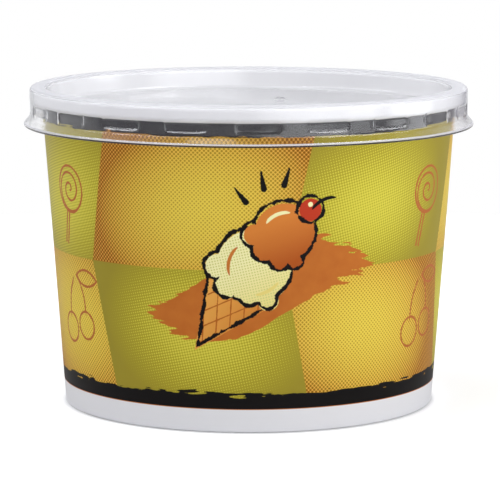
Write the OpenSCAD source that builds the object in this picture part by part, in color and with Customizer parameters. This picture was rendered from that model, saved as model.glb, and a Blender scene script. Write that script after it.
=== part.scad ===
// Round paper dessert cup with a clear plastic lid that snaps over its rim.
// Millimetres, +Z up, origin on the table at the centre of the foot, the front towards -Y.

/* [Cup] */
// Outside diameter of the rolled rim
rim_d = 98; // [90:0.5:130]
// Outside diameter at the foot
foot_d = 84.2; // [70:0.1:89]
// Height of the cup, from the table to the top of the rolled rim
cup_h = 71.6; // [45:0.1:140]
// Thickness of the side wall board
wall_t = 0.45; // [0.3:0.05:0.7]
// Thickness of the base board
base_t = 0.4; // [0.3:0.05:0.7]
// Height of the inside of the base above the table
base_z = 8; // [5:0.1:16]
// Corner radius where the base turns down into its skirt
base_corner_r = 1; // [0.8:0.1:2]

/* [Rolled rim and hem] */
// Width of the rolled rim
curl_w = 2.35; // [2:0.05:3.2]
// Height of the rolled rim
curl_h = 3.5; // [3.3:0.1:5]
// Slit between the end of the curl and the wall
curl_slit = 0.12; // [0.05:0.01:0.3]
// Edge radius of the fold at the foot
fold_r = 0.3; // [0.1:0.05:0.45]
// Distance from the top of the hem to the underside of the base
hem_gap = 1.6; // [1:0.1:2.5]
// Film of sealant between two plies
seal_gap = 0.04; // [0.02:0.01:0.1]

/* [Side seam] */
// Overlap of the two edges of the blank
seam_w = 8; // [5:0.5:12]
// Place of the seam round the cup, from the right hand side
seam_angle = 90; // [60:1:120]
// Height above the table where the outer ply of the seam starts
seam_foot_z = 0.6; // [0.4:0.1:2]

/* [Lid] */
// Thickness of the formed sheet
lid_t = 0.3; // [0.2:0.05:0.45]
// Height of the skirt, from the crown to the tip of the lip
skirt_h = 8.8; // [8:0.1:12]
// Depth of the sunk centre below the crown
recess_h = 4.8; // [4.6:0.1:5.5]
// Outer rounding of the crown
crown_r = 1; // [0.6:0.1:1.4]
// Inner rounding of the crown, towards the plug wall
crown_in_r = 0.6; // [0.4:0.1:0.9]
// Rounding where the plug wall meets the floor
floor_r = 0.8; // [0.4:0.1:1.2]
// How far the plug wall leans in from the crown down to the floor
plug_draft = 0.3; // [0.1:0.05:0.6]
// Diameter of the low raised panel
panel_d = 72; // [50:1:78]
// Rise of the panel above the floor
panel_rise = 0.5; // [0.2:0.1:0.6]
// Plan width of the ramp round the panel
panel_ramp = 1.2; // [0.6:0.1:3]

/* [Lip of the lid] */
// How far the lip stands out from the skirt
lip_out = 1.4; // [0.8:0.1:2]
// Height of the flare above the tip of the lip
flare_h = 2.4; // [2.2:0.1:3]
// Straight stretch at the tip of the lip
lip_tip_h = 0.4; // [0.2:0.1:0.5]

/* [Lugs of the lid] */
// Number of lugs pressed into the skirt
lug_n = 20; // [8:1:24]
// Place of the first lug round the lid, from the front to the right
lug_phase = 2.3; // [0:0.1:18]
// Width of a lug at the surface of the skirt
lug_w = 10.1; // [5:0.1:11]
// Height of the flat stretch of a lug
lug_h = 2.1; // [1:0.1:3]
// Distance from the top of the flare to the foot of a lug
lug_lift = 0.2; // [0:0.05:0.5]
// Lean of the sides of a lug
lug_side_angle = 40; // [20:5:50]
// Lean of the top and the foot of a lug
lug_slope_angle = 45; // [30:5:55]

/* [Vent of the lid] */
// Place of the vent to the right of the centre
vent_x = 7.2; // [-15:0.1:15]
// Place of the vent behind the centre
vent_y = 10.3; // [-15:0.1:15]
// Diameter of the vent nib at its foot
nib_d = 3.2; // [2.4:0.1:5]
// Rise of the vent nib above the panel
nib_rise = 0.5; // [0.2:0.1:0.8]
// Diameter of the vent hole
vent_d = 0.9; // [0.4:0.1:1.2]

/* [Fits] */
// Gap between the crown of the lid and the top of the rim
seat_gap = 0.1; // [0.05:0.01:0.2]
// Gap between the skirt of the lid and the rim
skirt_gap = 0.5; // [0.35:0.05:0.8]
// Gap between the lugs and the rim, so that a stiff lid still lifts off
lug_gap = 0.1; // [0.05:0.01:0.2]
// Gap between the plug wall and the inside of the cup
plug_gap = 0.15; // [0.08:0.01:0.4]

/* [Hidden] */
$fn = 96;

// Wall: a cone that ends in the straight inner side of the rolled rim.
rim_r = rim_d / 2;
foot_r = foot_d / 2;
curl_r = curl_w / 2;
curl_x = rim_r - curl_r;
curl_top_z = cup_h - curl_r;
curl_low_z = cup_h - curl_h + curl_r;
curl_end = acos((wall_t + curl_slit) / curl_r - 1);
mouth_r = rim_r - curl_w;
wall_slope = (mouth_r + wall_t - foot_r) / curl_low_z;
wall_tilt = atan(wall_slope);

// Foot: the wall and its hem hold the skirt of the base between them.
pan_d = wall_t + seal_gap;
fold_w = 2 * wall_t + base_t + 2 * seal_gap;
hem_top_z = base_z - base_t - hem_gap;

// Lid: heights
lid_top_z = cup_h + seat_gap + lid_t;
floor_z = lid_top_z - recess_h;
panel_z = floor_z + panel_rise;
lip_z = lid_top_z - skirt_h;
flare_z = lip_z + flare_h;
lug_foot_z = flare_z + lug_lift;

// Lid: radii of the side that shows
skirt_r = rim_r + skirt_gap + lid_t;
lip_r = skirt_r + lip_out;
plug_top_r = mouth_r - plug_gap - lid_t;
plug_low_r = plug_top_r - plug_draft;
panel_r = panel_d / 2;

// Lugs
lug_depth = skirt_gap - lug_gap;
lug_r = skirt_r - lug_depth;
lug_pitch = 360 / lug_n;

// Overrun of a cutting shape past the surface that it cuts.
past = 2;

// Points of an arc round [x, y], from angle a to angle b in n steps.
function arc(x, y, r, a, b, n = 5) =
    [for (i = [0:n]) let (t = a + (b - a) * i / n) [x + r * cos(t), y + r * sin(t)]];

// A point at height z that lies d inside the outer face of the wall.
function ply(p) = [foot_r + wall_slope * p[1] - p[0], p[1]];

// Unit vector from p to q, and the left normal of a vector.
function unit(p, q) = (q - p) / norm(q - p);
function left(v) = [-v[1], v[0]];

// An open path shifted by t to its left, with mitred corners.
function mitre(path, i, t) =
    let (
        last = len(path) - 1,
        a = left(unit(path[max(i - 1, 0)], path[max(i, 1)])),
        b = left(unit(path[min(i, last - 1)], path[min(i + 1, last)]))
    )
    path[i] + t * (a + b) / (1 + a * b);
function shifted(path, t) = [for (i = [0:len(path) - 1]) mitre(path, i, t)];

// Section of the side wall as one closed outline.
function wall_outline() = concat(
    // Down the outside, round the fold at the foot and up the hem
    [for (p = concat(
        [[0, curl_low_z]],
        arc(fold_r, fold_r, fold_r, 180, 270, 3),
        arc(fold_w - fold_r, fold_r, fold_r, 270, 360, 3),
        [[fold_w, hem_top_z], [fold_w - wall_t, hem_top_z], [fold_w - wall_t, wall_t]],
        [[wall_t, wall_t], [wall_t, curl_low_z]]
    )) ply(p)],
    // Over the outside of the rolled rim and back along its inside
    arc(curl_x, curl_top_z, curl_r, 180, 0, 12),
    arc(curl_x, curl_low_z, curl_r, 0, -curl_end, 8),
    arc(curl_x, curl_low_z, curl_r - wall_t, -curl_end, 0, 8),
    arc(curl_x, curl_top_z, curl_r - wall_t, 0, 180, 10)
);

// Section of the base: a shallow pan, turned upside down.
function base_outline() =
    let (x = pan_d + base_corner_r, z = base_z - base_corner_r)
    concat(
        [[0, base_z - base_t], [0, base_z]],
        [for (p = concat(
            arc(x, z, base_corner_r, 90, 180),
            [[pan_d, pan_d], [pan_d + base_t, pan_d]],
            arc(x, z, base_corner_r - base_t, 180, 90)
        )) ply(p)]
    );

// The side of the lid that shows, from the middle of the panel out to the tip of the lip.
function lid_face() = concat(
    [[0, panel_z], [panel_r - panel_ramp, panel_z], [panel_r, floor_z]],
    arc(plug_low_r - floor_r, floor_z + floor_r, floor_r, -90, 0, 4),
    arc(plug_top_r + crown_in_r, lid_top_z - crown_in_r, crown_in_r, 180, 90, 4),
    arc(skirt_r - crown_r, lid_top_z - crown_r, crown_r, 90, 0),
    lip_curve()
);

// The flare as two like arcs: out of the skirt, then round and down to the tip of the lip.
function lip_curve() =
    let (
        low_z = lip_z + lip_tip_h,
        a = 2 * atan(lip_out / (flare_z - low_z)),
        r = lip_out / (1 - cos(a)) / 2,
        n = 4
    )
    concat(
        arc(skirt_r + r, flare_z, r, 180, 180 + a, n),
        arc(lip_r - r, low_z, r, a * (n - 1) / n, 0, n - 1),
        [[lip_r, lip_z]]
    );

// Outline of the space in front of a lug, in section. It opens outwards.
function lug_outline() =
    let (k = tan(lug_slope_angle))
    [
        [skirt_r + past, lug_foot_z + (2 * lug_depth + past) * k + lug_h],
        [lug_r, lug_foot_z + lug_depth * k + lug_h],
        [lug_r, lug_foot_z + lug_depth * k],
        [skirt_r + past, lug_foot_z - past * k]
    ];

// Outer ply of the side seam: one board proud at its edge, and run out to nothing.
module seam_ply() {
    half = seam_w / 2;
    sag = foot_r - sqrt(foot_r * foot_r - half * half);
    sunk = wall_t / 3;
    top_z = cup_h - curl_h - curl_slit;
    rotate([0, 0, seam_angle])
        translate([foot_r + wall_slope * seam_foot_z, 0, seam_foot_z])
            rotate([0, wall_tilt, 0])
                linear_extrude((top_z - seam_foot_z) / cos(wall_tilt))
                    polygon([
                        [-sag - sunk, -half],
                        [wall_t - sag, -half],
                        [wall_t / 2, 0],
                        [-sag - sunk / 2, half],
                        [-sag - sunk, half],
                        [-sunk, 0]
                    ]);
}

module side_wall() {
    color([0.80, 0.68, 0.22]) union() {
        rotate_extrude() polygon(wall_outline());
        seam_ply();
    }
}

module base_disc() {
    color([0.96, 0.95, 0.92]) rotate_extrude() polygon(base_outline());
}

// Everything between a path and the axis, down to the level where the path ends.
module inside_of(path) {
    rotate_extrude() polygon(concat(path, [[0, path[len(path) - 1][1]]]));
}

// The spaces in front of the lugs, grown by t on every side that meets the sheet.
module lug_spaces(t) {
    grow = t / cos(lug_side_angle);
    lean = tan(lug_side_angle);
    in = lug_r - past;
    out = skirt_r + past;
    function half(x) = lug_w / 2 + grow + (x - skirt_r) * lean;
    intersection() {
        rotate_extrude() polygon(shifted(lug_outline(), -t));
        for (i = [0:lug_n - 1])
            rotate([0, 0, lug_phase - 90 + i * lug_pitch])
                translate([0, 0, lip_z - past])
                    linear_extrude(skirt_h + 2 * past)
                        polygon([[in, -half(in)], [out, -half(out)], [out, half(out)], [in, half(in)]]);
    }
}

// The vent nib as a solid, drawn in by t.
module vent_nib(t) {
    low_z = panel_z - lid_t - past;
    translate([vent_x, vent_y, low_z]) cylinder(h = panel_z - t - low_z, d = nib_d - 2 * t);
    translate([vent_x, vent_y, panel_z - t])
        cylinder(h = nib_rise, d1 = nib_d - 2 * t, d2 = nib_d - 2 * nib_rise - 2 * t);
}

module lid() {
    face = lid_face();
    back = shifted(face, -lid_t);
    color([0.88, 0.91, 0.93, 0.45]) difference() {
        union() {
            difference() {
                inside_of(face);
                lug_spaces(0);
            }
            vent_nib(0);
        }
        difference() {
            inside_of(concat(back, [[lip_r - lid_t, lip_z - past]]));
            lug_spaces(lid_t);
        }
        vent_nib(lid_t);
        translate([vent_x, vent_y, floor_z]) cylinder(h = recess_h, d = vent_d);
    }
}

side_wall();
base_disc();
lid();
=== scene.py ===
"""Paper dessert cup with a clear plastic lid: shapes, finishes, light and camera.

Lengths are written in millimetres and multiplied by MM where Blender needs metres.
The origin is on the table at the centre of the foot, +Z up, and the front is towards -Y.
"""

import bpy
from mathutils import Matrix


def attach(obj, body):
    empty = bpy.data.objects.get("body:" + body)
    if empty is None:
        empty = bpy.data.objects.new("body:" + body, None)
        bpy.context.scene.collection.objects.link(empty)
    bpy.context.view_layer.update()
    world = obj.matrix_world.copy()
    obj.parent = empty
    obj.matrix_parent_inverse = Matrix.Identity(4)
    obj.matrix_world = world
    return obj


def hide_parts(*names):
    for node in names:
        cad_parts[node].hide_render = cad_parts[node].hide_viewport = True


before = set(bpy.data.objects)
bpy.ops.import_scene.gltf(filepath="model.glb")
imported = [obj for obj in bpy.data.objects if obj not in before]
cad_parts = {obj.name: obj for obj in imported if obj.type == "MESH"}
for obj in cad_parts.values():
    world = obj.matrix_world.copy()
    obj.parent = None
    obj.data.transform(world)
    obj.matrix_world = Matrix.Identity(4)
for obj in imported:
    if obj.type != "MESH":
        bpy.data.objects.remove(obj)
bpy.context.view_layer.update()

import math

import bpy
import numpy as np

MM = 0.001

# Cup
RIM_D = 98.0
FOOT_D = 84.2
CUP_H = 71.6
WALL_T = 0.45
BASE_T = 0.4
BASE_Z = 8.0
CURL_W = 2.35
CURL_H = 3.5
CURL_SLIT = 0.12
FOLD_R = 0.3
HEM_GAP = 1.6
SEAL_GAP = 0.04
SEAM_W = 8.0
SEAM_ANGLE = 90.0
MIDDLE_R = 44.5

# Lid
LID_T = 0.3
SKIRT_H = 8.8
RECESS_H = 4.8
CROWN_R = 1.0
CROWN_IN_R = 0.6
FLOOR_R = 0.8
PLUG_DRAFT = 0.3
PANEL_D = 72.0
PANEL_RISE = 0.5
PANEL_RAMP = 1.2
LIP_OUT = 1.4
FLARE_H = 2.4
LIP_TIP_H = 0.4
LUG_N = 20
LUG_PHASE = 2.3
LUG_W = 10.1
LUG_H = 2.1
LUG_LIFT = 0.2
VENT_X = 7.2
VENT_Y = 10.3
NIB_D = 3.2
NIB_RISE = 0.5
VENT_D = 0.9

# Softer forms of the lid, which the solid leaves sharp
LUG_SIDE = 0.65
LUG_LEDGE = 0.8
LUG_LEAN = 0.3
BEAD_R = 0.34
BEAD_OUT = 0.12
LIP_SLACK = 0.05
FLARE_TURN = 43.0

# Fits between the lid and the cup
SEAT_GAP = 0.1
SKIRT_GAP = 0.5
LUG_GAP = 0.1
PLUG_GAP = 0.15

# Derived sizes of the cup
RIM_R = RIM_D / 2
FOOT_R = FOOT_D / 2
CURL_R = CURL_W / 2
CURL_X = RIM_R - CURL_R
CURL_TOP_Z = CUP_H - CURL_R
CURL_LOW_Z = CUP_H - CURL_H + CURL_R
MOUTH_R = RIM_R - CURL_W
WALL_SLOPE = (MOUTH_R + WALL_T - FOOT_R) / CURL_LOW_Z
FOLD_W = 2 * WALL_T + BASE_T + 2 * SEAL_GAP
HEM_TOP_Z = BASE_Z - BASE_T - HEM_GAP

# Derived sizes of the lid
LID_TOP_Z = CUP_H + SEAT_GAP + LID_T
FLOOR_Z = LID_TOP_Z - RECESS_H
PANEL_Z = FLOOR_Z + PANEL_RISE
LIP_Z = LID_TOP_Z - SKIRT_H
FLARE_Z = LIP_Z + FLARE_H
SKIRT_R = RIM_R + SKIRT_GAP + LID_T
LIP_R = SKIRT_R + LIP_OUT
PLUG_TOP_R = MOUTH_R - PLUG_GAP - LID_T
PLUG_LOW_R = PLUG_TOP_R - PLUG_DRAFT
LUG_DEPTH = SKIRT_GAP - LUG_GAP
LUG_FOOT_Z = FLARE_Z + LUG_LIFT

# Print on the side wall: heights of its bands
PRINT_LOW_Z = 5.2
FOOT_BAND_Z = 9.0
RIM_BAND_Z = 64.8
PRINT_TOP_Z = 68.0

# The round white table under the cup, and the faint blue of the studio's bright and dim parts
TABLE_R = 320.0
STUDIO = (0.955, 0.965, 1.0)
STUDIO_DIM = (0.88, 0.84, 1.0)
TABLE_GREY = 0.62
TABLE_GLOW = 0.58

# Round panels of light in the studio, in degrees: turn from the front to the right, height,
# radius that is fully lit, radius where it ends, and then the strength
PANELS = [
    (31, 12, 12, 35, 1.85),
    (-70, 27, 8, 27, 0.6),
    (94, -6, 8, 20, 2.1),
]

# Strips of light in the studio, in degrees: turn, half width, height, half height, droop, strength
STRIPS = [
    (61, 9, -7, 3, 0, 1.4),
    (-66, 38, 49.5, 3.5, 0.0019, 7.0),
    (-75, 55, 78, 8, 0, 1.8),
    (68, 32, 49.5, 3.5, 0.0019, 5.5),
]

# Camera: fitted to the photograph
CAMERA_BACK = 679.4
CAMERA_UP = 134.2
CAMERA_DIP = 0.1465
CAMERA_LENS = 215.4
CAMERA_SHIFT = 0.0026


def arc(x, z, r, start, end, n):
    """Points of an arc round (x, z), from angle start to angle end in n steps."""
    turns = np.radians(np.linspace(start, end, n + 1))
    return [(x + r * math.cos(t), z + r * math.sin(t)) for t in turns]


def ply(d, z):
    """The point at height z that lies d inside the outer face of the wall."""
    return (FOOT_R + WALL_SLOPE * z - d, z)


def rows(a, b, n):
    """Points from a to b in n steps, without the last."""
    return [(a[0] + (b[0] - a[0]) * i / n, a[1] + (b[1] - a[1]) * i / n) for i in range(n)]


def build(name, points, faces, slots=None, sharp=180):
    """A mesh object from points in millimetres, with edges past the angle sharp."""
    mesh = bpy.data.meshes.new(name)
    mesh.from_pydata([tuple(p) for p in np.asarray(points) * MM], [], faces)
    if slots is not None:
        mesh.polygons.foreach_set("material_index", slots)
    mesh.polygons.foreach_set("use_smooth", [True] * len(mesh.polygons))
    mesh.validate()
    mesh.set_sharp_from_angle(angle=math.radians(sharp))
    piece = bpy.data.objects.new(name, mesh)
    bpy.context.scene.collection.objects.link(piece)
    return piece


def turned(section, angles, shape):
    """Grid of points (row, angle, xyz): a section turned about the axis and then shaped."""
    section = np.asarray(section, float)
    r = np.repeat(section[:, :1], len(angles), axis=1)
    z = np.repeat(section[:, 1:], len(angles), axis=1)
    a = np.repeat(angles[None, :], len(section), axis=0)
    r, z = shape(r, z, a)
    return np.stack([r * np.cos(a), r * np.sin(a), z], axis=2)


def ring_faces(n_rows, n_angles, closed):
    """Quads between neighbouring rows of a turned grid."""
    faces = []
    for i in range(n_rows if closed else n_rows - 1):
        here, there = i * n_angles, ((i + 1) % n_rows) * n_angles
        for j in range(n_angles):
            k = (j + 1) % n_angles
            faces.append((here + j, here + k, there + k, there + j))
    return faces


# Side wall

def wall_section():
    """The closed section of the side wall, and for each row whether its face is printed."""
    outer = rows(ply(0, CURL_LOW_Z), ply(0, FOLD_R), 44)
    fold = [ply(*p) for p in arc(FOLD_R, FOLD_R, FOLD_R, 180, 270, 5)]
    fold += [ply(*p) for p in arc(FOLD_W - FOLD_R, FOLD_R, FOLD_R, 270, 360, 5)]
    hem = rows(ply(FOLD_W, FOLD_R + 0.4), ply(FOLD_W, HEM_TOP_Z), 5)
    hem += [ply(FOLD_W, HEM_TOP_Z), ply(FOLD_W - WALL_T, HEM_TOP_Z), ply(FOLD_W - WALL_T, WALL_T)]
    inner = rows(ply(WALL_T, WALL_T), (MOUTH_R, CURL_LOW_Z), 44)
    end = math.degrees(math.acos((WALL_T + CURL_SLIT) / CURL_R - 1))
    curl = [(MOUTH_R, CURL_LOW_Z)] + arc(CURL_X, CURL_TOP_Z, CURL_R, 180, 0, 18)
    curl += arc(CURL_X, CURL_LOW_Z, CURL_R, 0, -end, 12)
    inside = arc(CURL_X, CURL_LOW_Z, CURL_R - WALL_T, -end, 0, 8)
    inside += arc(CURL_X, CURL_TOP_Z, CURL_R - WALL_T, 0, 180, 12)
    section = outer + fold + hem + inner + curl + inside
    printed = [0] * (len(outer) + len(fold)) + [1] * (len(section) - len(outer) - len(fold))
    return section, printed


def seam_angles(n):
    """Angles round the wall, with close pairs where an edge of the blank steps."""
    half = math.degrees(SEAM_W / 2 / MIDDLE_R)
    angles = list(np.arange(n) * 360 / n)
    for edge in (SEAM_ANGLE - half, SEAM_ANGLE + half):
        angles = [a for a in angles if abs(a - edge) > 0.15]
        angles += [edge - 0.02, edge + 0.02]
    return np.radians(sorted(angles))


def wall_shape(r, z, a):
    """The seam's two plies, and the faint unevenness of wrapped board."""
    arc_mm = np.degrees(a) - SEAM_ANGLE
    arc_mm = np.radians((arc_mm + 180) % 360 - 180) * MIDDLE_R
    half = SEAM_W / 2
    outer_face = np.abs(r - (FOOT_R + WALL_SLOPE * z)) < 0.01
    inner_face = np.abs(r - (FOOT_R + WALL_SLOPE * z - WALL_T)) < 0.01
    over = (arc_mm > -half) & (arc_mm < half)
    along = (arc_mm + half) / SEAM_W
    outside = np.clip((z - 0.6) / 0.5, 0, 1) * np.clip((67.6 - z) / 0.5, 0, 1)
    inside = np.clip((z - 9) / 2, 0, 1) * np.clip((65 - z) / 2, 0, 1)
    proud = np.where(over, 1 - along, 0) * WALL_T * outside * outer_face
    sunk = np.where(over, along, 0) * WALL_T * inside * inner_face
    middle = np.sin(np.clip((z - 9) / 56, 0, 1) * math.pi)
    uneven = 0.05 * np.sin(3 * a + 0.7) + 0.03 * np.sin(5 * a + z / 21) + 0.02 * np.sin(11 * a - z / 13)
    r = r + proud - sunk + uneven * middle * (outer_face | inner_face)
    return r, z


def make_wall():
    """The printed side wall with its rolled rim, seam and folded hem, as one closed shell."""
    section, printed = wall_section()
    angles = seam_angles(480)
    grid = turned(section, angles, wall_shape)
    faces = [tuple(reversed(f)) for f in ring_faces(len(section), len(angles), closed=True)]
    slots = np.repeat(printed, len(angles))
    return build("cup_wall", grid.reshape(-1, 3), faces, slots, sharp=38)


# Lid

def lip_curve(n):
    """The flare, out of the skirt in a small bend, down a slope, and back to nearly upright."""
    low_z = LIP_Z + LIP_TIP_H
    out, down = LIP_OUT - BEAD_OUT, FLARE_Z - low_z
    turn = math.radians(FLARE_TURN)
    c, s = math.cos(turn), math.sin(turn)
    r = (out * c - down * s) / (2 * (1 - c) * c - 2 * s * s)
    upper = arc(SKIRT_R + r, FLARE_Z, r, 180, 180 + FLARE_TURN, n)
    lower = arc(SKIRT_R + out - r, low_z, r, FLARE_TURN, 8, n)
    return upper + rows(upper[-1], lower[0], 4)[1:] + lower


def lid_face():
    """The side of the lid that shows, from near the centre out to the tip of the lip."""
    nib = math.hypot(VENT_X, VENT_Y)
    panel = [(r, PANEL_Z) for r in (0.5, 2, 4, 6, 8, 9.6)]
    panel += [(nib - 2.1 + 0.3 * i, PANEL_Z) for i in range(15)]
    panel += [(r, PANEL_Z) for r in np.linspace(16.5, PANEL_D / 2 - PANEL_RAMP, 9)]
    ramp = [(PANEL_D / 2 - PANEL_RAMP * (1 - t), PANEL_Z - PANEL_RISE * t * t * (3 - 2 * t))
            for t in (0.12, 0.25, 0.38, 0.5, 0.62, 0.75, 0.88, 1)]
    floor = rows((PANEL_D / 2 + 0.5, FLOOR_Z), (PLUG_LOW_R - FLOOR_R, FLOOR_Z), 4)
    foot = arc(PLUG_LOW_R - FLOOR_R, FLOOR_Z + FLOOR_R, FLOOR_R, -90, 0, 6)
    plug = rows((PLUG_LOW_R, FLOOR_Z + FLOOR_R), (PLUG_TOP_R, LID_TOP_Z - CROWN_IN_R), 5)[1:]
    crown = arc(PLUG_TOP_R + CROWN_IN_R, LID_TOP_Z - CROWN_IN_R, CROWN_IN_R, 180, 90, 6)
    crown += arc(SKIRT_R - CROWN_R, LID_TOP_Z - CROWN_R, CROWN_R, 90, 0, 7)
    skirt = rows((SKIRT_R, LID_TOP_Z - CROWN_R), (SKIRT_R, FLARE_Z), 27)[1:]
    return panel + ramp + floor + foot + plug + crown + skirt + lip_curve(6)


def shifted(path, t):
    """A path shifted by t to its right, along the mean of its neighbours' normals."""
    path = np.asarray(path, float)
    step = np.diff(path, axis=0)
    step /= np.linalg.norm(step, axis=1)[:, None]
    normal = np.stack([step[:, 1], -step[:, 0]], axis=1)
    first = np.vstack([normal[:1], normal])
    second = np.vstack([normal, normal[-1:]])
    share = 1 + (first * second).sum(axis=1)
    return path + t * (first + second) / share[:, None]


def soft_step(x):
    """0 below 0, 1 above 1 and smooth between."""
    x = np.clip(x, 0, 1)
    return x * x * (3 - 2 * x)


def lug_press(z, a):
    """How far the lugs press the skirt in, as a share of their depth."""
    pitch = 360 / LUG_N
    turn = np.degrees(a) + 90 - LUG_PHASE + pitch / 2
    which = np.floor(turn / pitch)
    across = np.abs(np.radians(turn % pitch - pitch / 2) * SKIRT_R)
    low, high = LUG_FOOT_Z, LUG_FOOT_Z + 2 * LUG_DEPTH + LUG_H
    dx = (across - LUG_W / 2) / LUG_SIDE
    dz = np.where(z < (low + high) / 2, (low - z) / LUG_LEDGE, (z - high) / LUG_SIDE)
    corner = 1.5
    outside = np.hypot(np.maximum(dx + corner, 0), np.maximum(dz + corner, 0))
    distance = outside + np.minimum(np.maximum(dx, dz) + corner, 0) - corner
    lean = 1 - LUG_LEAN * np.clip((z - low) / (high - low), 0, 1)
    uneven = 1 - 0.06 * (1 + np.sin(5.1 * which + 1.3))
    slope = np.clip(-distance * 1.15, 0, 1.15)
    pressed = np.minimum(slope, 1) - 0.12 * np.sin(math.pi * np.minimum(slope, 1)) ** 2 * (slope < 0.5)
    return pressed * lean * uneven


def lid_angles():
    """Angles round the lid, closer together at the sides of the lugs."""
    pitch = 360 / LUG_N
    half = math.degrees(LUG_W / 2 / SKIRT_R)
    ramp = math.degrees(LUG_SIDE / SKIRT_R)
    side = np.linspace(half - ramp - 0.05, half + 0.05, 6)
    inner = np.linspace(-side[0], side[0], 7)[1:-1]
    outer = np.linspace(side[-1], pitch - side[-1], 6)[1:-1]
    one = np.concatenate([-side[::-1], inner, side, outer])
    turns = [LUG_PHASE - 90 + i * pitch + one for i in range(LUG_N)]
    return np.radians(np.concatenate(turns))


def ripple(a, z):
    """Slack in the trimmed lip, from -1 to 1."""
    wave = np.sin(9 * a + 0.4) + np.sin(17 * a + 1.9 + z) + np.sin(31 * a + 4.2 - 2 * z)
    return (wave + np.sin(53 * a + 2.6 + 3 * z)) / 4


def lid_shape(r, z, a):
    """Pressed lugs, the vent nib, and the slack of a thin formed sheet."""
    on_skirt = (r > RIM_R) & (z < LID_TOP_Z - CROWN_R - LID_T)
    r = r - LUG_DEPTH * lug_press(z, a) * on_skirt
    x, y = r * np.cos(a), r * np.sin(a)
    inside = r < PLUG_LOW_R
    nib = soft_step((NIB_D / 2 - np.hypot(x - VENT_X, y - VENT_Y)) / (NIB_D / 2 - 0.75))
    slack = 0.16 * np.sin(x / 15 + 0.5) * np.cos(y / 12 + 0.3) - 0.10 * np.cos(x / 21 - y / 17)
    calm = soft_step((PLUG_LOW_R - 1.5 - r) / 8)
    z = z + inside * (NIB_RISE * nib + slack * calm)
    flare = soft_step((FLARE_Z - z) / 1.2) * soft_step((z - LIP_Z) / 0.5) * on_skirt
    r = r - LIP_SLACK * (1 + ripple(a, z)) * flare
    return r, z


def make_lid():
    """The clear lid as one closed sheet: its face, the rounded lip and its back."""
    face = lid_face()
    bead = arc(LIP_R - BEAD_R, LIP_Z + BEAD_R, BEAD_R, 58, -232, 14)
    back = shifted(face, LID_T)
    angles = lid_angles()
    section = np.vstack([np.asarray(face), bead, back[::-1]])
    grid = turned(section, angles, lid_shape)
    n, m = len(section), len(angles)
    points = list(grid.reshape(-1, 3))
    points += [grid[0].mean(axis=0), grid[-1].mean(axis=0)]
    faces = [tuple(reversed(f)) for f in ring_faces(n, m, closed=False)]
    for j in range(m):
        k = (j + 1) % m
        faces.append((n * m, j, k))
        faces.append((n * m + 1, (n - 1) * m + k, (n - 1) * m + j))
    lid = build("lid_shell", points, faces)
    pierce(lid)
    return lid


def pierce(lid):
    """Cuts the vent hole."""
    bpy.ops.mesh.primitive_cylinder_add(
        vertices=24, radius=VENT_D / 2 * MM, depth=4 * MM,
        location=(VENT_X * MM, VENT_Y * MM, PANEL_Z * MM))
    drill = bpy.context.object
    cut = lid.modifiers.new("vent", "BOOLEAN")
    cut.operation = "DIFFERENCE"
    cut.solver = "EXACT"
    cut.object = drill
    bpy.context.view_layer.objects.active = lid
    bpy.ops.object.modifier_apply(modifier=cut.name)
    bpy.data.objects.remove(drill)


# Node trees

class Field:
    """A number that varies over a surface: a socket of a node tree, with arithmetic."""

    def __init__(self, tree, socket):
        self.tree = tree
        self.socket = socket

    def maths(self, operation, *others, clamp=False):
        node = self.tree.nodes.new("ShaderNodeMath")
        node.operation = operation
        node.use_clamp = clamp
        for slot, value in zip(node.inputs, (self, *others)):
            if isinstance(value, Field):
                self.tree.links.new(value.socket, slot)
            else:
                slot.default_value = value
        return Field(self.tree, node.outputs[0])

    def __add__(self, other):
        return self.maths("ADD", other)

    def __sub__(self, other):
        return self.maths("SUBTRACT", other)

    def __mul__(self, other):
        return self.maths("MULTIPLY", other)

    def __truediv__(self, other):
        return self.maths("DIVIDE", other)

    __radd__ = __add__
    __rmul__ = __mul__

    def __rsub__(self, other):
        return self * -1 + other

    def __neg__(self):
        return self * -1


def absolute(f):
    return f.maths("ABSOLUTE")


def lowest(f, *others):
    for other in others:
        f = f.maths("MINIMUM", other)
    return f


def highest(f, *others):
    for other in others:
        f = f.maths("MAXIMUM", other)
    return f


def length(x, y):
    """Distance from the origin."""
    return (x * x + y * y).maths("SQRT")


def below(f, limit, soft):
    """1 where f is below the limit and 0 above it, over a soft edge."""
    return ((limit - f) / soft + 0.5).maths("MULTIPLY", 1.0, clamp=True)


def turned_by(x, y, degrees):
    """The place (x, y) in axes that are turned by an angle."""
    c, s = math.cos(math.radians(degrees)), math.sin(math.radians(degrees))
    return x * c + y * s, y * c - x * s


def noise(tree, x, y, z=None, scale=1.0, detail=2.0):
    """Smooth noise from 0 to 1."""
    joined = tree.nodes.new("ShaderNodeCombineXYZ")
    for slot, value in zip(joined.inputs, (x, y, z)):
        if value is not None:
            tree.links.new(value.socket, slot)
    node = tree.nodes.new("ShaderNodeTexNoise")
    node.inputs["Scale"].default_value = scale
    node.inputs["Detail"].default_value = detail
    tree.links.new(joined.outputs[0], node.inputs["Vector"])
    return Field(tree, node.outputs["Fac"])


def mixed(tree, share, first, second):
    """A colour between two, each a tuple or a socket."""
    node = tree.nodes.new("ShaderNodeMix")
    node.data_type = "RGBA"
    slots = [s for s in node.inputs if s.type == "RGBA"]
    for slot, value in zip(slots, (first, second)):
        if isinstance(value, tuple):
            slot.default_value = (*value, 1)
        else:
            tree.links.new(value, slot)
    tree.links.new(share.socket, node.inputs[0])
    return [s for s in node.outputs if s.type == "RGBA"][0]


def srgb(r, g, b):
    """A colour from 8-bit sRGB numbers to linear ones."""
    def linear(v):
        v /= 255
        return v / 12.92 if v <= 0.04045 else ((v + 0.055) / 1.055) ** 2.4
    return (linear(r), linear(g), linear(b))


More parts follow.
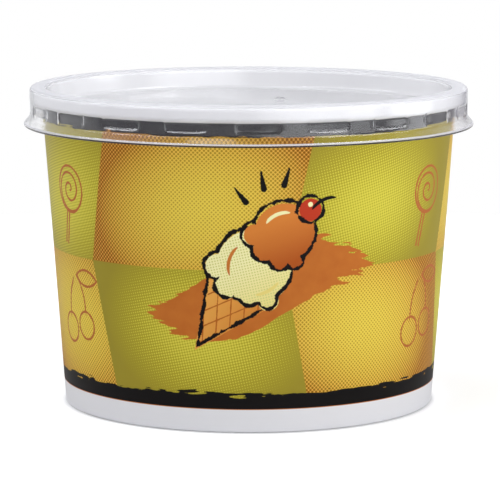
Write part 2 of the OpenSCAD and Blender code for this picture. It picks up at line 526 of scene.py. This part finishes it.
def new_material(name):
    material = bpy.data.materials.new(name)
    material.use_nodes = True
    tree = material.node_tree
    tree.nodes.clear()
    return material, tree


def output(tree, shader):
    node = tree.nodes.new("ShaderNodeOutputMaterial")
    tree.links.new(shader, node.inputs["Surface"])


def principled(tree, **values):
    node = tree.nodes.new("ShaderNodeBsdfPrincipled")
    for name, value in values.items():
        node.inputs[name.replace("_", " ")].default_value = value
    return node


def bumped(tree, shader, height, strength, distance):
    """Adds fine relief to a shader, with its distance in millimetres."""
    node = tree.nodes.new("ShaderNodeBump")
    node.inputs["Strength"].default_value = strength
    node.inputs["Distance"].default_value = distance * MM
    tree.links.new(height.socket, node.inputs["Height"])
    tree.links.new(node.outputs[0], shader.inputs["Normal"])


def place(tree):
    """Position on the object in millimetres, as three fields."""
    coordinates = tree.nodes.new("ShaderNodeTexCoord")
    split = tree.nodes.new("ShaderNodeSeparateXYZ")
    tree.links.new(coordinates.outputs["Object"], split.inputs[0])
    return [Field(tree, s) * (1 / MM) for s in split.outputs]


# Colours of the print

INK = srgb(20, 18, 18)
GREEN_LIGHT = srgb(222, 212, 78)
GREEN_DEEP = srgb(196, 182, 66)
GREEN_DOT_LIGHT = srgb(182, 170, 44)
GREEN_DOT_DEEP = srgb(160, 145, 48)
ORANGE_LIGHT = srgb(240, 214, 86)
ORANGE_DEEP = srgb(228, 168, 72)
ORANGE_DOT_LIGHT = srgb(200, 166, 50)
ORANGE_DOT_DEEP = srgb(142, 86, 8)
CREAM = srgb(252, 247, 184)
CREAM_DOT = srgb(222, 218, 134)
CREAM_SHADE = srgb(240, 222, 128)
RUST = srgb(206, 122, 50)
RUST_DEEP = srgb(186, 100, 38)
WAFER = srgb(240, 176, 84)
WAFER_SHADE = srgb(216, 138, 56)
COCOA = srgb(222, 134, 58)
COCOA_SHADE = srgb(180, 88, 32)
BERRY = srgb(196, 62, 36)
LINE = srgb(186, 104, 52)
BOARD = srgb(236, 236, 238)

# Layout of the print: lengths in millimetres along the wall, turns in degrees
PRINT_R = 44.6
CUT_EDGE_U = PRINT_R * (math.pi - SEAM_W / 2 / MIDDLE_R)
CUT_EDGE_W = 0.3
SPLIT_Z = 36.0
TIER_H = 29.0
COLUMN = 60.0
COLUMN_START = 10.0
COLUMN_LEAN = 0.26
GREEN_PITCH = 0.60
GREEN_TURN = 13
ORANGE_PITCH = 0.65
ORANGE_TURN = 45
REPEAT = 120.0
CONE_Z = 35.0
CONE_TURN = -36
CONE_SCALE = 0.9
SWEET_Z = 51.0
FRUIT_Z = 24.0

# Circles, (x, y, radius), that join into the scoops of the drawn cone
LOW_SCOOP = [(0, 6.5, 9.2), (-7.2, 1.4, 3.0), (-2.6, -0.8, 3.3), (2.9, 0.2, 3.0), (7.4, 1.8, 2.6)]
TOP_SCOOP = [(1, 17.2, 7.3), (-4.6, 12.8, 2.6), (-0.6, 11.2, 2.8), (3.9, 11.2, 2.5), (7.0, 13.2, 2.2)]


def halftone(u, z, pitch, angle, size):
    """Dots on a turned square lattice, whose radius is a share of the pitch."""
    a, b = turned_by(u, z, angle)
    a = (a / pitch).maths("FRACT") - 0.5
    b = (b / pitch).maths("FRACT") - 0.5
    return below(length(a, b), size, 0.16)


def fields(tree, u, z, degrees):
    """Two tiers of leaning fields, green and orange by turns, each lighter in its middle."""
    up = absolute(z - SPLIT_Z)
    column = (degrees - COLUMN_START - up * COLUMN_LEAN) / COLUMN
    across = column.maths("FRACT") * 2 - 1
    across = across + degrees * 0.008
    high = up * (2 / TIER_H) - 0.9
    edge = length(across, high) * 0.74
    edge = (edge * edge).maths("MULTIPLY", 1.0, clamp=True)
    upper = below(z, SPLIT_Z, 0.06)
    odd = ((column.maths("FLOOR") + upper.maths("ROUND")) / 2).maths("FRACT") * 2
    green = mixed(tree, edge, GREEN_LIGHT, GREEN_DEEP)
    green_dot = mixed(tree, edge, GREEN_DOT_LIGHT, GREEN_DOT_DEEP)
    holes = halftone(u, z, GREEN_PITCH, GREEN_TURN, 0.49 - edge * 0.52)
    green = mixed(tree, holes, green_dot, green)
    orange = mixed(tree, edge, ORANGE_LIGHT, ORANGE_DEEP)
    orange_dot = mixed(tree, edge, ORANGE_DOT_LIGHT, ORANGE_DOT_DEEP)
    dots = halftone(u, z, ORANGE_PITCH, ORANGE_TURN, edge * 0.14 + 0.31)
    orange = mixed(tree, dots, orange, orange_dot)
    return mixed(tree, odd, green, orange)


def circle(x, y, cx, cy, r):
    """Distance to a circle in millimetres, below 0 inside it."""
    return length(x - cx, y - cy) - r


def cloud_shape(x, y, circles):
    """Distance to circles that are joined together."""
    return lowest(*(circle(x, y, *c) for c in circles))


def stroke(x, y, start, end, thick, thin):
    """Distance to a straight stroke whose half-width goes from thick to thin."""
    dx, dy = end[0] - start[0], end[1] - start[1]
    span = dx * dx + dy * dy
    px, py = x - start[0], y - start[1]
    along = (px * (dx / span) + py * (dy / span)).maths("MULTIPLY", 1.0, clamp=True)
    return length(px - along * dx, py - along * dy) - (along * (thin - thick) + thick)


def crescent(x, y, centre, r, facing, spread, width):
    """Distance to a stroke along an arc, widest in the middle and thin at its ends."""
    px, py = x - centre[0], y - centre[1]
    towards = px * math.cos(math.radians(facing)) + py * math.sin(math.radians(facing))
    start = r * math.cos(math.radians(spread))
    share = ((towards - start) / (r - start)).maths("MULTIPLY", 1.0, clamp=True)
    return absolute(length(px, py) - r) - share.maths("SQRT") * width + below(share, 0.01, 0.01)


class Drawing:
    """Shapes painted over one another, with soft edges and a brush that wavers."""

    def __init__(self, tree, colour, u, z):
        self.tree = tree
        self.colour = colour
        self.waver = noise(tree, u, z, scale=0.55, detail=3) - 0.5
        grain = noise(tree, u, z * 1.4, scale=2.3, detail=2) - 0.5
        self.rough = grain * 0.35
        self.width = self.waver * 1.7 + 0.42

    def fill(self, distance, colour):
        share = below(distance + self.rough * 0.5, 0, 0.12)
        self.colour = mixed(self.tree, share, self.colour, colour)

    def shade(self, distance, light, dark, amount):
        self.fill(distance, mixed(self.tree, amount.maths("MULTIPLY", 1.0, clamp=True), light, dark))

    def outline(self, distance, drift):
        """A brush line along an edge, which drifts in and out of it."""
        self.fill(absolute(distance + drift) - self.width + self.rough, INK)


def paint_cone(tree, colour, u, z):
    """A drawn ice-cream cone with two scoops and a berry, over a sweep of rust."""
    p, q = turned_by(u, z - CONE_Z, CONE_TURN)
    p, q = p / CONE_SCALE, q / CONE_SCALE + 4
    art = Drawing(tree, colour, u, z)
    drift = p * 0.05 - q * 0.03 + 0.1
    rust = mixed(tree, noise(tree, u, z, scale=0.25), RUST_DEEP, RUST)
    art.fill(rust_sweep(tree, u, z - CONE_Z), rust)

    cone = highest(absolute(p) * 0.913 - (q + 19) * 0.408, q - 2)
    art.shade(cone, WAFER, WAFER_SHADE, p * 0.07 + 0.5)
    for turn in (32, -30):
        line, _ = turned_by(p, q, turn)
        line = absolute((line / 3.3).maths("FRACT") - 0.5) * 3.3 - 0.16 - art.waver * 0.3
        art.fill(highest(line, cone + 0.6), RUST_DEEP)
    art.outline(cone, drift)

    low = cloud_shape(p, q, LOW_SCOOP)
    art.shade(low, CREAM, CREAM_SHADE, p * 0.06 - q * 0.03 + 0.35)
    art.fill(highest(low + 0.3, 0.3 - halftone(u, z, GREEN_PITCH, GREEN_TURN, 0.27)), CREAM_DOT)
    art.outline(low, drift)
    art.fill(crescent(p, q, (0, 6.5), 6.3, 200, 34, 0.45), RUST)
    art.fill(crescent(p, q, (0, 6.5), 6.6, 335, 26, 0.5), CREAM_SHADE)

    top = cloud_shape(p, q, TOP_SCOOP)
    art.shade(top, COCOA, COCOA_SHADE, p * 0.08 - q * 0.05 + 1.1)
    art.outline(top, drift)
    art.fill(crescent(p, q, (1, 17.2), 5.0, 150, 36, 0.5), CREAM)

    berry = circle(p, q, 2.6, 25.3, 2.7)
    art.fill(berry, BERRY)
    art.fill(circle(p, q, 1.8, 26.3, 0.6), CREAM)
    art.outline(berry, drift)
    art.fill(crescent(p, q, (8.6, 26.0), 5.6, 150, 34, 0.5), INK)
    for start, end in (((-9.5, 23), (-12.5, 26)), ((-11, 18), (-15, 19.2)), ((-6.2, 26.5), (-7.6, 30.4))):
        art.fill(stroke(p, q, start, end, 0.75, 0.2) + art.rough, INK)
    return art.colour


def rust_sweep(tree, x, y):
    """Distance to a sweep of paint that bends, thins out and breaks up at its ends."""
    x, y = turned_by(x, y, 9)
    bend = y + 3.5 - (x * 0.105).maths("SINE") * 3.4
    half = 8.6 - x * x * 0.0125 + x * 0.05
    streak = noise(tree, x * 0.2, bend, scale=0.9, detail=3) - 0.5
    ends = (absolute(x) - 12).maths("MAXIMUM", 0.0) * 0.5
    return absolute(bend) - half + streak * (ends + 1.0) * 1.8


def paint_lines(tree, colour, u, z):
    """Thin line drawings: a twisted sweet on a stick, and below it two cherries with a leaf."""
    art = Drawing(tree, colour, u, z)
    width = art.waver * 0.35 + 0.27
    p, q = turned_by(u, z - SWEET_Z, -14)
    r = length(p, q)
    turn = p.maths("ARCTAN2", q) * (1 / (2 * math.pi))
    coil = absolute((r / 2.4 + turn).maths("FRACT") - 0.5) * 2.4
    sweet = lowest(highest(coil, r - 5.0), absolute(r - 5.2))
    stick = lowest(*(stroke(p, q, (side, -5.4), (side, -12.6), 0, 0) for side in (-0.55, 0.55)))
    x, y = u, z - FRUIT_Z
    fruit = absolute(lowest(circle(x, y, -3.9, -4.6, 3.3), circle(x, y, 3.4, -3.4, 3.1)))
    left_stem = crescent(x, y, (8.4, -1.0), 12.4, 163, 22, 0)
    right_stem = crescent(x, y, (-7.8, 0.2), 11.2, 19, 24, 0)
    leaf = absolute(highest(circle(x, y, 4.2, 3.8, 5.4), circle(x, y, 4.6, 11.2, 5.6)))
    art.fill(lowest(sweet, stick, fruit, left_stem, right_stem, leaf) - width, LINE)
    return art.colour


def dry_edge(tree, u, z, seed):
    """How far a dry brush strays over a level edge, in millimetres."""
    streaks = noise(tree, u + seed, z * 9, scale=0.12, detail=4) - 0.5
    peaks = noise(tree, u - seed, z * 0.6, scale=0.35, detail=4) - 0.5
    return streaks * 4.6 + peaks * 1.6 - 0.3


def local_turn(degrees, start):
    """Millimetres along the wall from the middle of the nearest repeat of a drawing."""
    turn = ((degrees + (REPEAT / 2 - start)) / REPEAT).maths("FRACT") - 0.5
    return turn * (REPEAT * math.pi / 180 * PRINT_R)


def printed_board():
    """The board of the side wall, with its print between the plain foot and the rim."""
    material, tree = new_material("printed_board")
    x, y, z = place(tree)
    turn = x.maths("ARCTAN2", -y)
    degrees = turn * (180 / math.pi)
    u = turn * PRINT_R
    colour = fields(tree, u, z, degrees)
    colour = paint_lines(tree, colour, local_turn(degrees, 60), z)
    colour = paint_cone(tree, colour, local_turn(degrees, 0), z)
    foot = below(z - dry_edge(tree, u, z, 0), FOOT_BAND_Z, 0.12)
    rim = below(-z - dry_edge(tree, u, z, 70) * 0.6, -RIM_BAND_Z, 0.12)
    colour = mixed(tree, highest(foot, rim), colour, INK)
    colour = mixed(tree, below(z, PRINT_LOW_Z + 0.06, 0.1), colour, RUST)
    bare = highest(below(z, PRINT_LOW_Z - 0.08, 0.08), below(-z, -PRINT_TOP_Z, 0.08))
    cut_edge_and_lip_shade = below(absolute(u - CUT_EDGE_U), CUT_EDGE_W / 2, 0.06)
    colour = mixed(tree, highest(bare, cut_edge_and_lip_shade), colour, BOARD)
    shader = principled(tree, Roughness=0.42, Specular_IOR_Level=0.1)
    tree.links.new(colour, shader.inputs["Base Color"])
    bumped(tree, shader, noise(tree, x, y, z, scale=2.2, detail=3), 0.25, 0.02)
    output(tree, shader.outputs[0])
    return material


def plain_board():
    """White coated board, very slightly mottled."""
    material, tree = new_material("plain_board")
    x, y, z = place(tree)
    mottle = noise(tree, x, y, z, scale=0.35, detail=4)
    colour = mixed(tree, mottle, srgb(246, 246, 246), srgb(250, 250, 250))
    shader = principled(tree, Roughness=0.4, Specular_IOR_Level=0.35)
    tree.links.new(colour, shader.inputs["Base Color"])
    bumped(tree, shader, noise(tree, x, y, z, scale=2.2, detail=3), 0.3, 0.02)
    output(tree, shader.outputs[0])
    return material


def shader_mix(tree, share, first, second):
    """The first shader where the share is 0 and the second where it is 1."""
    node = tree.nodes.new("ShaderNodeMixShader")
    tree.links.new(share.socket, node.inputs[0])
    tree.links.new(first.outputs[0], node.inputs[1])
    tree.links.new(second.outputs[0], node.inputs[2])
    return node


def clear_plastic():
    """A clear, slightly milky sheet, with a painted dark line at the tip of the lip and a painted
    highlight line of milk on the bead. Light that comes from lamps passes it straight.
    """
    material, tree = new_material("clear_plastic")
    x, y, z = place(tree)
    weight = tree.nodes.new("ShaderNodeLayerWeight")
    weight.inputs["Blend"].default_value = 0.5
    cosine = 1 - Field(tree, weight.outputs["Facing"])
    cloud = noise(tree, x, y, z, scale=0.12, detail=3)
    # The lowest third of a millimetre of the lip is tinted nearly black: a painted dark line of shade
    # under the lip's bright edge.
    cut_edge_and_lip_shade = below(z, LIP_Z + 0.33, 0.08)
    # A band of white milk along the top of the bead: a painted highlight line over the real reflection of
    # the lamps.
    bead = below(absolute(z - (LIP_Z + 0.56)), 0.15, 0.1)
    crest = below(-z, 0.5 - LID_TOP_Z, 0.5)
    scuffs = below(-z, -FLARE_Z, 0.3) * (cloud * 0.03 + 0.01)
    haze = (cloud * 0.006 + 0.003) / (cosine + 0.04) + scuffs + bead * 0.6 + crest * 0.6
    sheet = principled(tree, IOR=1.49, Transmission_Weight=1.0, Specular_IOR_Level=0.4)
    tree.links.new((crest * 0.35 + 0.08).socket, sheet.inputs["Roughness"])
    # Painted shade: the sheet's tint turns nearly black at the tip of the lip.
    tint = mixed(tree, cut_edge_and_lip_shade, (0.985, 0.985, 0.995), (0.06, 0.055, 0.07))
    tree.links.new(tint, sheet.inputs["Base Color"])
    milk = tree.nodes.new("ShaderNodeBsdfDiffuse")
    milk.inputs["Color"].default_value = (0.82, 0.82, 0.84, 1)
    body = shader_mix(tree, haze, sheet, milk)
    clear = tree.nodes.new("ShaderNodeBsdfTransparent")
    clear.inputs["Color"].default_value = (1, 1, 1, 1)
    path = tree.nodes.new("ShaderNodeLightPath")
    kinds = ("Is Shadow Ray", "Is Diffuse Ray")
    straight = highest(*(Field(tree, path.outputs[kind]) for kind in kinds))
    output(tree, shader_mix(tree, straight, body, clear).outputs[0])
    return material


# Stage, light and camera

def in_view(tree):
    """1 for what is seen directly or straight through clear sheet, 0 for what lights the cup."""
    path = tree.nodes.new("ShaderNodeLightPath")
    camera = Field(tree, path.outputs["Is Camera Ray"])
    through = Field(tree, path.outputs["Is Transmission Ray"])
    straight = below(Field(tree, path.outputs["Glossy Depth"]), 0.5, 0.1)
    return highest(camera, through * straight)


def make_floor():
    """A white floor that keeps the shadow of the cup, and whose glow fades out round the foot in a
    painted contact shadow.
    """
    material, tree = new_material("floor")
    diffuse = tree.nodes.new("ShaderNodeBsdfDiffuse")
    diffuse.inputs["Color"].default_value = (TABLE_GREY, TABLE_GREY, TABLE_GREY, 1)
    glow = tree.nodes.new("ShaderNodeEmission")
    x, y, _ = place(tree)
    # The glow fades out in a ring round the foot, reaching a little further to the front: a painted
    # contact shadow.
    outside_painted_shadow = smooth(length(x, y + 1.2), FOOT_R - 1.2, FOOT_R + 1.4)
    strength = in_view(tree) * outside_painted_shadow * TABLE_GLOW
    tree.links.new(strength.socket, glow.inputs["Strength"])
    both = tree.nodes.new("ShaderNodeAddShader")
    tree.links.new(diffuse.outputs[0], both.inputs[0])
    tree.links.new(glow.outputs[0], both.inputs[1])
    output(tree, both.outputs[0])
    bpy.ops.mesh.primitive_circle_add(vertices=96, radius=TABLE_R * MM, fill_type="NGON")
    floor = bpy.context.object
    floor.name = "floor"
    floor.data.materials.append(material)


def smooth(f, low, high):
    """0 at low and 1 at high, either way round, and smooth between."""
    t = ((f - low) / (high - low)).maths("MULTIPLY", 1.0, clamp=True)
    return t * t * (3 - t * 2)


def panel_of_light(direction, azimuth, height, inner, outer):
    """A soft-edged round panel of light, placed from the front to the right and up."""
    a, h = math.radians(azimuth), math.radians(height)
    x, y, z = direction
    dot = x * (math.sin(a) * math.cos(h)) - y * (math.cos(a) * math.cos(h)) + z * math.sin(h)
    return smooth(dot, math.cos(math.radians(outer)), math.cos(math.radians(inner)))


def strip_of_light(direction, azimuth, half_width, height, half_height, droop):
    """A long soft-edged strip of light, placed like a panel, that bends down to the sides."""
    x, y, z = direction
    turn = x.maths("ARCTAN2", -y) * (180 / math.pi)
    rise = z.maths("ARCSINE") * (180 / math.pi)
    along = smooth(absolute(turn - azimuth), half_width + 6.0, half_width - 6.0)
    across = smooth(absolute(rise + turn * turn * droop - height), half_height + 2.0, half_height - 1.0)
    return along * across


def make_world():
    """A white backdrop, and a studio with soft panels that lights the cup."""
    world = bpy.data.worlds.new("studio")
    bpy.context.scene.world = world
    world.use_nodes = True
    tree = world.node_tree
    tree.nodes.clear()
    coordinates = tree.nodes.new("ShaderNodeTexCoord")
    split = tree.nodes.new("ShaderNodeSeparateXYZ")
    tree.links.new(coordinates.outputs["Generated"], split.inputs[0])
    direction = [Field(tree, s) for s in split.outputs]
    back = smooth(direction[1] - direction[0] * 0.3, -0.1, 0.5) * 0.8
    back = back * (1 - panel_of_light(direction, 142, 0, 12, 26) * 0.8)
    level = smooth(absolute(direction[2]), 0.45, 0.15)
    studio = back + (1 - back) * (level * 0.23 + 0.04)
    for *panel, strength in PANELS:
        studio = studio + panel_of_light(direction, *panel) * strength
    for *strip, strength in STRIPS:
        studio = studio + strip_of_light(direction, *strip) * strength
    dim = below(studio, 0.5, 0.5)
    white = in_view(tree)
    strength = studio * (1 - white) + white
    background = tree.nodes.new("ShaderNodeBackground")
    tint = mixed(tree, white, STUDIO, (1, 1, 1))
    tint = mixed(tree, dim * (1 - white), tint, STUDIO_DIM)
    tree.links.new(tint, background.inputs["Color"])
    tree.links.new(strength.socket, background.inputs["Strength"])
    node = tree.nodes.new("ShaderNodeOutputWorld")
    tree.links.new(background.outputs[0], node.inputs["Surface"])


def softbox(name, place_mm, aim_mm, size_mm, power):
    """A rectangular lamp that faces a point."""
    light = bpy.data.lights.new(name, "AREA")
    light.shape = "RECTANGLE"
    light.size, light.size_y = size_mm[0] * MM, size_mm[1] * MM
    light.energy = power
    lamp = bpy.data.objects.new(name, light)
    bpy.context.scene.collection.objects.link(lamp)
    start, aim = np.array(place_mm) * MM, np.array(aim_mm) * MM
    lamp.location = start
    direction = aim - start
    flat = math.hypot(direction[0], direction[1])
    lamp.rotation_euler = (math.atan2(flat, -direction[2]), 0, math.atan2(-direction[0], direction[1]))
    return lamp


def make_lights():
    softbox("key", (900, -500, 700), (0, 0, 30), (700, 700), 3.6)
    softbox("fill", (-800, -500, 1000), (0, 0, 30), (900, 900), 1.2)


def make_camera():
    data = bpy.data.cameras.new("camera")
    data.lens = CAMERA_LENS
    data.shift_x = CAMERA_SHIFT
    camera = bpy.data.objects.new("camera", data)
    bpy.context.scene.collection.objects.link(camera)
    camera.location = (0, -CAMERA_BACK * MM, CAMERA_UP * MM)
    camera.rotation_euler = (math.pi / 2 - CAMERA_DIP, 0, 0)
    bpy.context.scene.camera = camera


def main():
    make_camera()
    make_world()
    make_lights()
    make_floor()

    printed, plain, clear = printed_board(), plain_board(), clear_plastic()
    wall = make_wall()
    wall.data.materials.append(printed)
    wall.data.materials.append(plain)
    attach(wall, "cup_body")
    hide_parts("side_wall")

    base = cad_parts["base_disc"]
    base.material_slots[0].material = plain

    lid = make_lid()
    lid.data.materials.append(clear)
    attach(lid, "lid_body")
    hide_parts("lid")

    bpy.context.scene.view_settings.view_transform = "Standard"


main()
